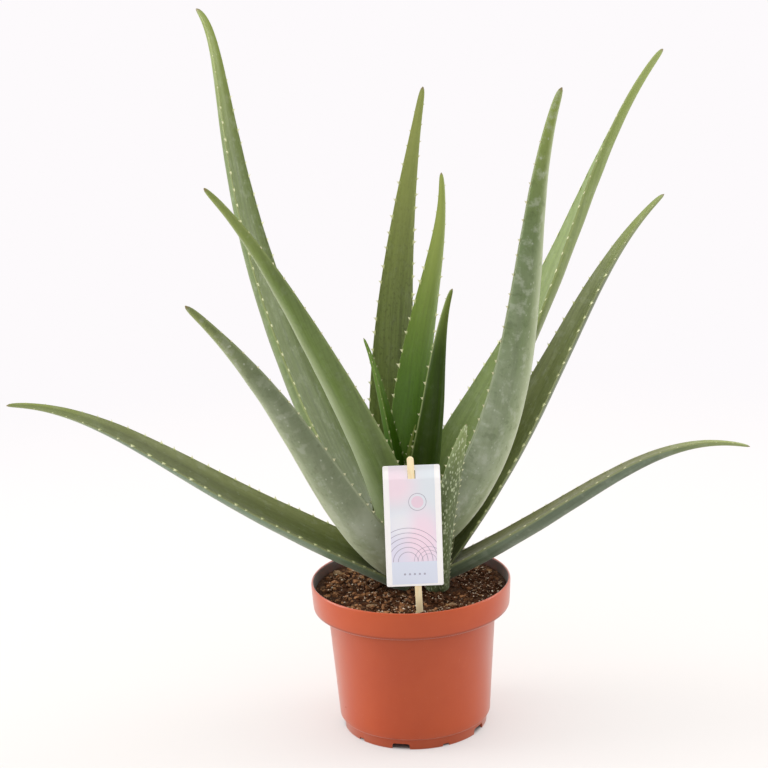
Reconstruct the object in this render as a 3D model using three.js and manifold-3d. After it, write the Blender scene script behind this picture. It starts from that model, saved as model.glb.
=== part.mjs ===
// A potted aloe: fourteen toothed leaves round a short stem, in a nursery pot with a tag on a stick.
// Millimetres, +Z up, the origin on the pot's axis where it stands on the ground.
import * as THREE from 'three';
import { mergeVertices } from 'three/addons/utils/BufferGeometryUtils.js';
import Module from 'manifold-3d';

const wasm = await Module();
wasm.setup();

// the pot
const POT_HEIGHT = 130;
const RIM_RADIUS = 85;
const COLLAR_LOW_RADIUS = 84;
const COLLAR_LOW_Z = 108;
const BODY_TOP_RADIUS = 71.5;
const BODY_LOW_RADIUS = 65.3;
const FOOT_RADIUS = 62;
const FOOT_HEIGHT = 9;
const WALL = 1.9;
const FLOOR_UNDER_Z = 6;
const FLOOR_TOP_Z = 8;
const CENTRE_DISC_RADIUS = 20;
const NOTCH_WIDE = { width: 15, height: 5, from: 257 };
const NOTCH_SMALL = { width: 6, height: 2.2, from: 293 };
const NOTCH_COUNT = 5;
const DRAIN_HOLE = { radius: 4, ring: 42 };
const POT_SIDES = 48;

// the soil
const SOIL_Z = 121;
const SOIL_CROWN_RADIUS = 40;
const SOIL_LUMP_COUNT = 42;
const SOIL_SIDES = 32;

// the stem under the leaves
const CROWN = { x: 4, y: 6, foot: 112, top: 196, radius: 10 };

// the tag and its stick, both leaning back a little
const TAG = { width: 46, height: 99.5, thick: 0.8, x: 2.7, foot: 147.3, y: -68, step: 3.6, corner: 1.5 };
const TAG_SLIT = { width: 7.6, from: 88.5, to: 96 };
const STICK = { width: 5.5, thick: 2, foot: 112, top: 254, footX: 5.9, topX: 2.1 };
const LEAN_BACK = 3;

// what every leaf shares
const GAP = 0.35;
const SLIVER = 0.002;
const MARGIN_THICK = 0.9;
const CUP = 0.14;
const FULLNESS = 1.6;
const SHARPNESS = 1.05;
const TIP = { width: 0.12, thick: 0.7, reach: 60 };
const TOOTH = { height: 2.1, half: 1.7, thick: 0.9, sink: 1.3, lean: 0.9 };
const TOOTH_STEP = 26;
const LEAF_STEPS = 17;

// one leaf: the compass angle it grows towards, its width and thickness at the foot, the turn of its blade
// at the foot and at the tip, and its middle line's start, three handles and tip; full keeps a leaf's width
// further out, sharp draws its tip in, and the oldest leaf comes first
const LEAVES = [
  { name: 'leaf_arching_right', face: -11, width: 26, thick: 11, turn: [3, 2], full: 2,
    line: [[12, 9, 123], [87, -14, 160], [153, -27, 208], [204, -38, 265], [276, -52, 249]] },
  { name: 'leaf_arching_left', face: 186, width: 35, thick: 14, turn: [-21, -43], full: 1.7,
    line: [[-4, 6, 124], [-94, -4, 177], [-182, -14, 217], [-235, -20, 297], [-323, -30, 301]] },
  { name: 'leaf_centre_back', face: 88, width: 50, thick: 12, turn: [-1, 0],
    line: [[3, 20, 122], [-17, 41, 223], [-13, 57, 329], [4, 70, 433], [26, 80, 537]] },
  { name: 'leaf_tall_left', face: 148, width: 56, thick: 13, turn: [16, -9],
    line: [[-13, 15, 126], [-100, 64, 281], [-165, 101, 450], [-130, 81, 572], [-163, 100, 608]] },
  { name: 'leaf_tall_right', face: 32, width: 53, thick: 12, turn: [32, -51],
    line: [[15, 18, 136], [29, 26, 263], [149, 96, 291], [144, 93, 456], [241, 150, 558]] },
  { name: 'leaf_mid_right', face: 22, width: 41, thick: 12, turn: [26, 10],
    line: [[20, 7, 140], [85, 33, 213], [139, 55, 292], [162, 64, 382], [232, 92, 437]] },
  { name: 'leaf_low_left', face: 227, width: 51, thick: 14, turn: [6, -8],
    line: [[-8, -4, 138], [-59, -57, 191], [-78, -77, 271], [-111, -110, 340], [-157, -158, 401]] },
  { name: 'leaf_mid_left', face: 217, width: 51, thick: 13, turn: [8, -17],
    line: [[-8, -2, 148], [-15, -7, 236], [-66, -46, 315], [-92, -65, 414], [-144, -105, 479]] },
  { name: 'leaf_tall_front', face: 324, width: 54, thick: 14, turn: [-10, -5],
    line: [[14, -3, 160], [87, -40, 228], [107, -50, 333], [97, -45, 451], [127, -60, 540]] },
  { name: 'leaf_bright_centre', face: 78, width: 39, thick: 10, turn: [0, 0],
    line: [[7, 10, 168], [-2, 18, 248], [4, 25, 328], [42, 34, 399], [38, 45, 468]] },
  { name: 'leaf_dark_centre', face: 300, width: 33, thick: 10, turn: [2, -1],
    line: [[8, 4, 170], [16, 0, 226], [31, -7, 279], [26, -4, 333], [42, -12, 380]] },
  { name: 'leaf_small_left', face: 160, width: 20, thick: 7, turn: [-3, -6], step: 18,
    line: [[1, 6, 176], [-7, 7, 217], [-16, 9, 258], [-18, 9, 299], [-32, 12, 337]] },
  { name: 'leaf_newest', face: 80, width: 9, thick: 4, turn: [0, 0], step: 22,
    line: [[5, 5, 188], [1, 6, 207], [-1, 8, 225], [3, 8, 244], [9, 9, 262]] },
];
const OFFSET_LEAF = {
  name: 'leaf_spotted_offset', face: 290, width: 21, thick: 7, turn: [2, -12], step: 14, full: 3, sharp: 0.7,
  line: [[24, -5, 113], [23, -33, 151], [27, -51, 196], [36, -56, 239], [48, -60, 279]],
};

// seeded numbers from 0 to 1
function seeded(seed) {
  let state = seed;
  return () => {
    state = (state * 1664525 + 1013904223) % 4294967296;
    return state / 4294967296;
  };
}

// a three.js geometry as a solid for the boolean steps
function toSolid(geometry, tolerance = 1e-4) {
  const bare = new THREE.BufferGeometry();
  bare.setAttribute('position', geometry.getAttribute('position').clone());
  if (geometry.index) bare.setIndex(geometry.index.clone());
  const merged = mergeVertices(bare, tolerance);
  const mesh = new wasm.Mesh({
    numProp: 3,
    vertProperties: new Float32Array(merged.getAttribute('position').array),
    triVerts: new Uint32Array(merged.index.array),
  });
  return new wasm.Manifold(mesh);
}

// a solid's surface as a three.js geometry
function surfaceOf(solid) {
  const mesh = solid.getMesh();
  const geometry = new THREE.BufferGeometry();
  geometry.setAttribute('position', new THREE.BufferAttribute(new Float32Array(mesh.vertProperties), 3));
  geometry.setIndex(new THREE.BufferAttribute(new Uint32Array(mesh.triVerts), 1));
  return geometry;
}

// a finished solid as a three.js geometry, without the slivers that the cuts leave
function toGeometry(solid) {
  const tidy = toSolid(surfaceOf(solid.simplify(SLIVER)), 1e-3);
  return surfaceOf(largest(tidy));
}

// the largest of the bodies that a cut leaves
function largest(solid) {
  const bodies = solid.decompose();
  bodies.sort((a, b) => b.volume() - a.volume());
  return bodies[0];
}

// a geometry of points and of faces that name three of them each
function facetedGeometry(points, faces) {
  const geometry = new THREE.BufferGeometry();
  geometry.setAttribute('position', new THREE.Float32BufferAttribute(points.flatMap((p) => [...p]), 3));
  geometry.setIndex(faces);
  return geometry;
}

// rings of points joined into one closed body; the first and last ring are closed by their middle points
function closedRings(rings) {
  const count = rings[0].length;
  const points = rings.flat();
  const faces = [];
  for (let i = 0; i < rings.length - 1; i++) {
    for (let k = 0; k < count; k++) {
      const next = (k + 1) % count;
      const a = i * count + k;
      const b = i * count + next;
      faces.push(a, b, a + count, b, b + count, a + count);
    }
  }
  for (const [start, flip] of [[0, true], [(rings.length - 1) * count, false]]) {
    const middle = new THREE.Vector3();
    for (let k = 0; k < count; k++) middle.add(points[start + k]);
    points.push(middle.divideScalar(count));
    const centre = points.length - 1;
    for (let k = 0; k < count; k++) {
      const next = start + ((k + 1) % count);
      if (flip) faces.push(centre, next, start + k);
      else faces.push(centre, start + k, next);
    }
  }
  return facetedGeometry(points, faces);
}

// a solid turned from a profile of [radius, height] pairs that starts and ends on the axis
function turned(profile, sides) {
  const points = profile.map(([r, z]) => new THREE.Vector2(r, z));
  return toSolid(new THREE.LatheGeometry(points, sides).rotateX(Math.PI / 2));
}

function box(width, depth, height, x, y, z) {
  return new THREE.BoxGeometry(width, depth, height).translate(x, y, z);
}

// the pot: collar, tapering body, notched foot ring, raised floor with drain holes and a flat centre disc
function potSolid() {
  const foot = [
    [0, 0], [CENTRE_DISC_RADIUS, 0], [CENTRE_DISC_RADIUS + 3, FLOOR_UNDER_Z],
    [FOOT_RADIUS - 2.4, FLOOR_UNDER_Z], [FOOT_RADIUS - 2, 0], [FOOT_RADIUS - 0.3, 0],
    [FOOT_RADIUS, FOOT_HEIGHT], [BODY_LOW_RADIUS - 0.6, FOOT_HEIGHT + 2.5],
    [BODY_LOW_RADIUS, FOOT_HEIGHT + 5.5],
  ];
  const collar = [
    [BODY_TOP_RADIUS, COLLAR_LOW_Z - 8], [BODY_TOP_RADIUS + 1.6, COLLAR_LOW_Z - 5],
    [COLLAR_LOW_RADIUS - 2.6, COLLAR_LOW_Z - 2], [COLLAR_LOW_RADIUS - 0.6, COLLAR_LOW_Z],
    [COLLAR_LOW_RADIUS, COLLAR_LOW_Z + 3], [RIM_RADIUS, POT_HEIGHT - 2.4],
    [RIM_RADIUS - 0.3, POT_HEIGHT - 0.6], [RIM_RADIUS - 1, POT_HEIGHT],
  ];
  const inside = [
    [RIM_RADIUS - 1.7, POT_HEIGHT - 0.4], [RIM_RADIUS - WALL - 0.2, POT_HEIGHT - 1.6],
    [COLLAR_LOW_RADIUS - WALL, COLLAR_LOW_Z + 3.6], [COLLAR_LOW_RADIUS - WALL - 1.6, COLLAR_LOW_Z + 1],
    [BODY_TOP_RADIUS - 0.4, COLLAR_LOW_Z - 3.4], [BODY_TOP_RADIUS - WALL, COLLAR_LOW_Z - 6],
    [BODY_LOW_RADIUS - WALL, FOOT_HEIGHT + 5.5], [FOOT_RADIUS - 1.4, FLOOR_TOP_Z], [0, FLOOR_TOP_Z],
  ];
  let pot = turned([...foot, ...collar, ...inside], POT_SIDES);
  for (const notch of [NOTCH_WIDE, NOTCH_SMALL]) {
    for (let i = 0; i < NOTCH_COUNT; i++) {
      const angle = THREE.MathUtils.degToRad(notch.from + (360 / NOTCH_COUNT) * i);
      const cutter = box(8, notch.width, notch.height * 2, FOOT_RADIUS - 1, 0, 0);
      pot = pot.subtract(toSolid(cutter.rotateZ(angle)));
    }
  }
  for (let i = 0; i < NOTCH_COUNT; i++) {
    const angle = THREE.MathUtils.degToRad(NOTCH_WIDE.from + (360 / NOTCH_COUNT) * i);
    const drill = new THREE.CylinderGeometry(DRAIN_HOLE.radius, DRAIN_HOLE.radius, 8, 12);
    drill.rotateX(Math.PI / 2).translate(DRAIN_HOLE.ring, 0, FLOOR_TOP_Z - 1);
    pot = pot.subtract(toSolid(drill.rotateZ(angle)));
  }
  return pot;
}

// the soil fills the pot; its surface is plain round the crown and uneven towards the wall
function soilBody() {
  const random = seeded(7);
  const floor = FLOOR_TOP_Z + 0.3;
  const wall = [
    [FOOT_RADIUS - 1.9, floor], [BODY_LOW_RADIUS - WALL - 0.4, FOOT_HEIGHT + 6],
    [BODY_TOP_RADIUS - WALL - 0.4, COLLAR_LOW_Z - 5.8], [BODY_TOP_RADIUS - 0.8, COLLAR_LOW_Z - 2.8],
    [COLLAR_LOW_RADIUS - WALL - 2.2, COLLAR_LOW_Z + 1.6], [COLLAR_LOW_RADIUS - WALL - 0.4, COLLAR_LOW_Z + 4],
  ];
  const ring = (radius, height) => {
    return Array.from({ length: SOIL_SIDES }, (_, k) => {
      const angle = (k / SOIL_SIDES) * 2 * Math.PI;
      return new THREE.Vector3(radius * Math.cos(angle), radius * Math.sin(angle), height());
    });
  };
  const rings = wall.map(([radius, z]) => ring(radius, () => z));
  for (const radius of [COLLAR_LOW_RADIUS - WALL - 0.3, 75, 68, 61, 54, 47]) {
    rings.push(ring(radius, () => SOIL_Z - 2.2 + 3 * random()));
  }
  rings.push(ring(SOIL_CROWN_RADIUS, () => SOIL_Z));
  return toSolid(closedRings(rings));
}

// bark and perlite lumps sunk half into the soil, clear of the stick's hole and of the wall
function soilLumps() {
  const random = seeded(23);
  const lumps = [];
  while (lumps.length < SOIL_LUMP_COUNT) {
    const angle = random() * 2 * Math.PI;
    const radius = 45 + 31 * Math.sqrt(random());
    const size = 2 + 2.6 * random() ** 2;
    const sharp = lumps.length % 3;
    const lump = sharp ? new THREE.OctahedronGeometry(1.15 * size) : new THREE.IcosahedronGeometry(size);
    lump.scale(0.8 + 0.8 * random(), 0.8 + 0.5 * random(), 0.5 + 0.3 * random());
    lump.rotateX(random() - 0.5).rotateZ(random() * 6.3);
    const x = radius * Math.cos(angle);
    const y = radius * Math.sin(angle);
    lump.translate(x, y, SOIL_Z - 0.6 + 0.6 * random());
    if (Math.hypot(x - STICK.footX, y - stickMiddle(0).y) > 11) lumps.push(toSolid(lump));
  }
  return lumps;
}

// a point on the stick's middle line, from 0 at its foot to 1 at its top
function stickMiddle(part) {
  const z = STICK.foot + (STICK.top - STICK.foot) * part;
  const x = STICK.footX + (STICK.topX - STICK.footX) * part;
  const y = TAG.y + TAG.step / 2 + (z - TAG.foot) * Math.tan(THREE.MathUtils.degToRad(LEAN_BACK));
  return new THREE.Vector3(x, y, z);
}

// a flat wooden stick with a rounded top, as large as asked by grow on every side
function stickSolid(grow) {
  const foot = stickMiddle(0);
  const top = stickMiddle(1);
  const half = STICK.width / 2 + grow;
  const length = foot.distanceTo(top);
  const outline = new THREE.Shape();
  outline.moveTo(-half, -grow);
  outline.lineTo(half, -grow);
  outline.lineTo(half, length - half);
  outline.absarc(0, length - half, half, 0, Math.PI, false);
  outline.lineTo(-half, -grow);
  const depth = STICK.thick + 2 * grow;
  const stick = new THREE.ExtrudeGeometry(outline, { depth, bevelEnabled: false, curveSegments: 7 });
  stick.translate(0, 0, -depth / 2).rotateX(Math.PI / 2);
  const along = top.clone().sub(foot).normalize();
  const turn = new THREE.Quaternion().setFromUnitVectors(new THREE.Vector3(0, 0, 1), along);
  stick.applyQuaternion(turn).translate(foot.x, foot.y, foot.z);
  return toSolid(stick);
}

// the tag: a card whose top strip is bent back behind the stick, which comes through a slit under it
function tagGeometry() {
  const side = [[0, 0], [0, TAG_SLIT.from], [TAG.step, TAG_SLIT.to], [TAG.step, TAG.height]];
  const half = TAG.thick / 2;
  const band = new THREE.Shape();
  side.forEach(([y, z], i) => (i ? band.lineTo(y - half, z) : band.moveTo(y - half, z)));
  [...side].reverse().forEach(([y, z]) => band.lineTo(y + half, z));
  const card = new THREE.ExtrudeGeometry(band, { depth: TAG.width, bevelEnabled: false });
  card.rotateX(Math.PI / 2).rotateZ(Math.PI / 2).translate(-TAG.width / 2, 0, 0);
  const face = new THREE.Shape();
  const w = TAG.width / 2;
  const c = TAG.corner;
  face.moveTo(-w + c, 0);
  face.absarc(w - c, c, c, -Math.PI / 2, 0, false);
  face.absarc(w - c, TAG.height - c, c, 0, Math.PI / 2, false);
  face.absarc(-w + c, TAG.height - c, c, Math.PI / 2, Math.PI, false);
  face.absarc(-w + c, c, c, Math.PI, Math.PI * 1.5, false);
  const cutter = new THREE.ExtrudeGeometry(face, { depth: 20, bevelEnabled: false, curveSegments: 3 });
  cutter.rotateX(Math.PI / 2).translate(0, 10, 0);
  const slitMiddle = (TAG_SLIT.from + TAG_SLIT.to) / 2;
  const slitHeight = TAG_SLIT.to - TAG_SLIT.from + 1.6;
  const slit = box(TAG_SLIT.width, 20, slitHeight, 0, 0, slitMiddle);
  const tag = toSolid(card).intersect(toSolid(cutter)).subtract(toSolid(slit));
  const geometry = toGeometry(tag);
  geometry.rotateX(THREE.MathUtils.degToRad(-LEAN_BACK)).translate(TAG.x, TAG.y, TAG.foot);
  return geometry;
}

// a smooth line from a start through the pull of its handles to an end
class HandleLine extends THREE.Curve {
  constructor(handles) {
    super();
    this.handles = handles.map((p) => new THREE.Vector3(...p));
    this.arcLengthDivisions = 100;
  }

  getPoint(t) {
    let points = this.handles;
    while (points.length > 1) {
      points = points.slice(1).map((p, i) => points[i].clone().lerp(p, t));
    }
    return points[0].clone();
  }
}

const leafCurves = new Map();

// a point of the middle line, its direction, and the blade's cross and upward directions there; part goes
// from 0 at the foot to 1 at the tip
function leafFrame(leaf, part) {
  if (!leafCurves.has(leaf)) leafCurves.set(leaf, new HandleLine(leaf.line));
  const curve = leafCurves.get(leaf);
  const point = curve.getPointAt(part);
  const along = curve.getTangentAt(part);
  const face = THREE.MathUtils.degToRad(leaf.face);
  const level = new THREE.Vector3(-Math.sin(face), Math.cos(face), 0);
  const side = level.addScaledVector(along, -level.dot(along)).normalize();
  const up = new THREE.Vector3().crossVectors(along, side);
  const turn = THREE.MathUtils.degToRad(leaf.turn[0] + (leaf.turn[1] - leaf.turn[0]) * part);
  side.applyAxisAngle(along, turn);
  up.applyAxisAngle(along, turn);
  return { point, along, side, up, length: curve.getLength() };
}

// width and thickness of a leaf at a part of its length; the blade runs out into a small blunt tip
function leafSize(leaf, part) {
  const tip = TIP.width * leaf.width * Math.sqrt(1 - part ** TIP.reach);
  const blade = leaf.width * (1 - part ** (leaf.full ?? FULLNESS)) ** (leaf.sharp ?? SHARPNESS);
  const width = Math.hypot(blade, tip);
  const thick = Math.hypot(leaf.thick * (1 - part ** 2.5) ** 0.9, TIP.thick * tip);
  const margin = MARGIN_THICK * Math.min(1, width / 8);
  return { width, thick, margin };
}

// one cross-section: a shallow trough above, a full round back and thin margins, grown by grow all round
function leafRing(leaf, part, grow) {
  const { point, side, up } = leafFrame(leaf, part);
  const { width, thick, margin } = leafSize(leaf, part);
  const middle = (CUP * width + thick) / 2;
  const top = (u) => middle - CUP * width * (1 - u * u);
  const back = (u) => top(u) - margin - Math.max(thick - margin, 0) * (1 - u * u) ** 0.6;
  const place = (u, height) => {
    return point.clone().addScaledVector(side, u * (width / 2 + grow)).addScaledVector(up, height);
  };
  const above = [1, 0.5, 0, -0.5, -1].map((u) => place(u, top(u) + grow));
  const below = [-0.97, -0.62, 0, 0.62, 0.97].map((u) => place(u, back(u) - grow));
  return [...above, ...below];
}

// the plain blade of a leaf
function bladeSolid(leaf, grow) {
  const steps = leaf.width < 25 ? 12 : LEAF_STEPS;
  const rings = [];
  for (let i = 0; i < steps; i++) {
    const part = (i / steps) ** 0.92;
    rings.push(leafRing(leaf, part, grow));
  }
  for (const part of [0.985, 0.996]) rings.push(leafRing(leaf, part, grow));
  const end = leafFrame(leaf, 1).point;
  const geometry = closedRings(rings);
  const position = geometry.getAttribute('position');
  position.setXYZ(position.count - 1, end.x, end.y, end.z);
  return toSolid(geometry);
}

// the places of the teeth: spaced evenly along both margins and set off from one side to the other
function toothSites(leaf, random) {
  const { length } = leafFrame(leaf, 0);
  const step = leaf.step ?? TOOTH_STEP;
  const count = Math.floor((length * 0.87) / step);
  const sites = [];
  for (const hand of [-1, 1]) {
    for (let i = 0; i < count; i++) {
      const part = 0.1 + (0.87 * (i + (hand > 0 ? 0.25 : 0.75) + 0.2 * (random() - 0.5))) / count;
      sites.push({ hand, part });
    }
  }
  return sites;
}

// one tooth: a three-sided spine rooted inside the margin, its point leaning towards the tip of the leaf
function toothSolid(leaf, { hand, part }) {
  const { point, along, side, up } = leafFrame(leaf, part);
  const { width, thick, margin } = leafSize(leaf, part);
  const size = Math.min(1, Math.max(0.55, width / 16));
  const edge = point.clone().addScaledVector(side, (hand * width) / 2);
  edge.addScaledVector(up, (CUP * width + thick) / 2 - margin / 2);
  const out = side.clone().multiplyScalar(hand);
  const place = (outward, forward, rise) => {
    const spot = edge.clone().addScaledVector(out, outward * size);
    return spot.addScaledVector(along, forward * size).addScaledVector(up, rise * size);
  };
  const tip = place(TOOTH.height, TOOTH.lean, -0.2);
  const root = [
    place(-TOOTH.sink, -TOOTH.half, TOOTH.thick - 1),
    place(-TOOTH.sink, -TOOTH.half, -TOOTH.thick - 1),
    place(-TOOTH.sink, TOOTH.half, -1),
  ];
  const faces = hand < 0 ? [0, 1, 2, 0, 2, 3, 0, 3, 1, 1, 3, 2] : [0, 2, 1, 0, 3, 2, 0, 1, 3, 1, 2, 3];
  return toSolid(facetedGeometry([tip, ...root], faces));
}

// all leaves: an older one keeps its place and a younger one is cut back from it, then the teeth go on
function leafSolids(soilCutter) {
  const stem = stemSolid(GAP);
  const all = [...LEAVES, OFFSET_LEAF];
  const grown = all.map((leaf) => bladeSolid(leaf, GAP));
  const done = [];
  all.forEach((leaf, i) => {
    let blade = bladeSolid(leaf, 0);
    if (leaf !== OFFSET_LEAF) blade = blade.subtract(stem).subtract(soilCutter);
    for (let j = 0; j < i; j++) blade = blade.subtract(grown[j]);
    done.push(largest(blade));
  });
  const random = seeded(101);
  return all.map((leaf, i) => {
    let body = done[i];
    for (const site of toothSites(leaf, random)) {
      const tooth = toothSolid(leaf, site);
      const blocked = [...grown, stem].some((other, j) => j !== i && other.intersect(tooth).volume() > 1e-6);
      const rooted = body.intersect(tooth).volume() > 0.35 * tooth.volume();
      if (rooted && !blocked) body = body.add(tooth);
    }
    return body;
  });
}

// the short stem that carries the leaves
function stemSolid(grow) {
  const r = CROWN.radius + grow;
  const foot = CROWN.foot - grow;
  const top = CROWN.top + grow;
  const profile = [[0, foot], [r, foot], [r, 150], [r - 3, 178], [2.5, top], [0, top]];
  return turned(profile, 20).translate([CROWN.x, CROWN.y, 0]);
}

function named(name, geometry, colour, roughness) {
  const material = new THREE.MeshStandardMaterial({ color: colour, roughness, metalness: 0 });
  const mesh = new THREE.Mesh(geometry, material);
  mesh.name = name;
  geometry.computeVertexNormals();
  return mesh;
}

function build() {
  const group = new THREE.Group();
  const soilCutter = turned([[0, 60], [90, 60], [90, SOIL_Z + 0.3], [0, SOIL_Z + 0.3]], 12);
  let soil = soilBody();
  for (const lump of soilLumps()) soil = soil.add(lump);
  for (const planted of [stemSolid, stickSolid]) soil = soil.subtract(planted(GAP));
  soil = soil.subtract(bladeSolid(OFFSET_LEAF, GAP));
  const leaves = leafSolids(soilCutter);
  group.add(named('pot', toGeometry(potSolid()), '#b4573a', 0.45));
  group.add(named('soil', toGeometry(soil), '#4a3428', 0.95));
  group.add(named('crown_stem', toGeometry(stemSolid(0)), '#8f9a6a', 0.6));
  [...LEAVES, OFFSET_LEAF].forEach((leaf, i) => {
    group.add(named(leaf.name, toGeometry(leaves[i]), '#6f8a52', 0.5));
  });
  group.add(named('plant_tag', tagGeometry(), '#e9def0', 0.5));
  group.add(named('tag_stick', toGeometry(stickSolid(0)), '#d9c3a0', 0.75));
  return group;
}

export default build();
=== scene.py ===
# A potted aloe in its nursery pot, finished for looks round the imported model. Metres, +Z up.
import functools
import math
import random
from bisect import bisect

import bmesh
import bpy
from mathutils import Matrix, Quaternion, Vector, noise


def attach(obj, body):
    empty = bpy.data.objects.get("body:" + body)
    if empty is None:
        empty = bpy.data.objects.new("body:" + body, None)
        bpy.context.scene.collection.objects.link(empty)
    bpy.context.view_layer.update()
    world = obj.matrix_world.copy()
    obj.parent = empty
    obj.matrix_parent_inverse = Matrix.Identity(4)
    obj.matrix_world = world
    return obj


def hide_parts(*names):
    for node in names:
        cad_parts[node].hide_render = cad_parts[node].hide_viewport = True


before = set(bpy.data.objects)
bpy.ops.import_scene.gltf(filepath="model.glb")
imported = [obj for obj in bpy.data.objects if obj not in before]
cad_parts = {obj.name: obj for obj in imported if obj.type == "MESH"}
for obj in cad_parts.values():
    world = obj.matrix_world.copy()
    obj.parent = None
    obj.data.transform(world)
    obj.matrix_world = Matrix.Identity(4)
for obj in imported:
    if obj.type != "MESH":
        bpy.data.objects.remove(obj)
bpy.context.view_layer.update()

MM = 0.001
TINY = 1e-6

# the camera that the photograph was taken with, worked out from the pot's rim, collar and foot
CAMERA_PLACE = (-16.4 * MM, -1289.4 * MM, 609.5 * MM)
CAMERA_LOOKS_DOWN = 13.5
CAMERA_ROLL = 2.2
CAMERA_LENS, CAMERA_SENSOR = 75, 36

# how bright the surround is from behind the camera, from the sides and, on top of that, from above
FRONT_LIGHT, SIDE_LIGHT, TOP_LIGHT = 0.58, 1.14, 0.30
SURROUND, BACKDROP, BLACK = (255, 253, 251), (253, 250, 252), (0, 0, 0)

# the floor as the camera sees it, its own glow there, and the colour that it throws back on the plant;
# further off it runs out into the backdrop's colour
FLOOR_SEEN, FLOOR_GLOW, FLOOR_BOUNCE = (179, 176, 174), (172, 170, 170), (205, 201, 199)
FLOOR_RADIUS, FLOOR_FADE_FROM, FLOOR_FADE_TO = 120, 0.3, 1.4

# the lamps: name, place, the point that each one lights, width and watts
LAMPS = [
    ("overhead", (-0.3, -0.3, 2.4), (0, 0, 0.3), 2, 3),
    ("left", (-4.6, 0.4, 1.5), (0, 0, 0.25), 2.8, 118),
    ("right", (4.6, 0.8, 1.5), (0, 0, 0.25), 2.8, 64),
]

# the pot, in millimetres; the soil in it has as many sides
SIDES = 144
POT_HEIGHT = 130
RIM_RADIUS = 85
COLLAR_LOW_RADIUS = 84
COLLAR_LOW_Z = 108
BODY_TOP_RADIUS = 71.5
BODY_LOW_RADIUS = 65.3
FOOT_RADIUS = 62
FOOT_HEIGHT = 9
WALL = 1.9
FLOOR_UNDER_Z = 6
FLOOR_TOP_Z = 8
CENTRE_DISC_RADIUS = 20
NOTCH_COUNT = 5
NOTCHES = [(15, 5, 257), (6, 2.2, 293)]
DRAIN_HOLE_RADIUS = 4
DRAIN_RING_RADIUS = 42
CUTTER_DEPTH = 8

# the soil, in millimetres
SOIL_Z = 121
SOIL_LEVEL = SOIL_Z - 0.6
SOIL_RADIUS = 81.6
SOIL_RING_STEP = 2.2
SOIL_WAVES = [(1.5, 24, 3), (1.1, 8, 9), (0.5, 2.2, 17)]
SOIL_SINKS_FROM = 70
GRAIN_RIM = SOIL_RADIUS - 1.5
LUMP_COUNT, CRUMB_COUNT, FLECK_COUNT, CHIP_COUNT, PERLITE_COUNT = 42, 3600, 2600, 46, 260
LUMPS_FROM, LUMPS_SPREAD, CLEAR_OF_STICK = 45, 31, 11
LUMP_SEED, GRAIN_SEED = 23, 41
ANY_TURN, ANY_TILT = 6.3, 0.7

# what the soil is made of, each from dark to light
PEAT_BED = (32, 18, 11), (84, 54, 36), (140, 102, 72)
PEAT_CRUMBS = (36, 20, 12), (106, 65, 39), (180, 128, 88)
FIBRE_FLECKS = (140, 106, 78), (190, 156, 124), (248, 230, 208)
BARK_CHIPS = (88, 58, 38), (136, 96, 62), (184, 144, 100)
PERLITE_BEADS = (128, 98, 70), (170, 140, 108), (250, 240, 222)

# the stem under the leaves, and the rings that old leaves left on it
CROWN_X, CROWN_Y, CROWN_FOOT, CROWN_TOP, CROWN_RADIUS = 4, 6, 112, 196, 10
NARROWS_FROM, NARROWS_TO, NARROWS_BY, CROWN_TIP_RADIUS = 150, 178, 3, 2.5
SCAR_COUNT, SCAR_STEP, SCAR_DEPTH = 9, 6, 0.8

# the tag and its stick, in millimetres
TAG_WIDTH, TAG_HEIGHT, TAG_THICK = 46, 99.5, 0.5
TAG_CORNER, TAG_STEP = 1.5, 3.6
TAG_PLACE = (2.7, -68, 147.3)
BEND_FROM, BEND_TO, BEND_PARTS = 88.5, 96, 6
SLIT_WIDTH, SLIT_FROM, SLIT_TO = 6.2, 89.2, 95.3
STICK_WIDTH, STICK_THICK = 5.5, 2
STICK_FOOT, STICK_TOP = (5.9, 112), (2.1, 254)
LEAN_BACK = 3

# the print on the tag, in millimetres from the middle of its lower edge: the line on which the arcs
# stand, the fans of arcs as their middle, depth of ink and radii, the disc and the dots
PRINT_LINE, PRINT_SOFT = 0.3, 0.2
PRINT_HORIZON = 20.6
PRINT_FANS = [(-5, 0.75, (8, 12, 16, 20, 24, 28)), (12, 0.55, (6, 9, 12))]
PRINT_DISC = (4, 70)
DOT_COUNT, DOT_FIRST, DOT_STEP, DOT_HEIGHT = 5, -8, 4, 10
PRINT_INK = (128, 118, 146)

# the leaves, in millimetres and degrees
AROUND = 36
RING_STEP = 5.5
CUP = 0.14
TIP_WIDTH, TIP_THICK, TIP_REACH = 0.12, 0.7, 60
MARGIN_THICK = 0.9
WAVE_HEIGHT, WAVE_LENGTH = 0.35, 26
TOOTH_STEP = 13
TEETH_FROM, TEETH_SPAN = 0.09, 0.88
TOOTH_LIFT = 0.3
TOOTH_HEIGHT, TOOTH_SINK, TOOTH_ROOT = 2.3, 1, 2.7
TOOTH_SEED = 7


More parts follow.
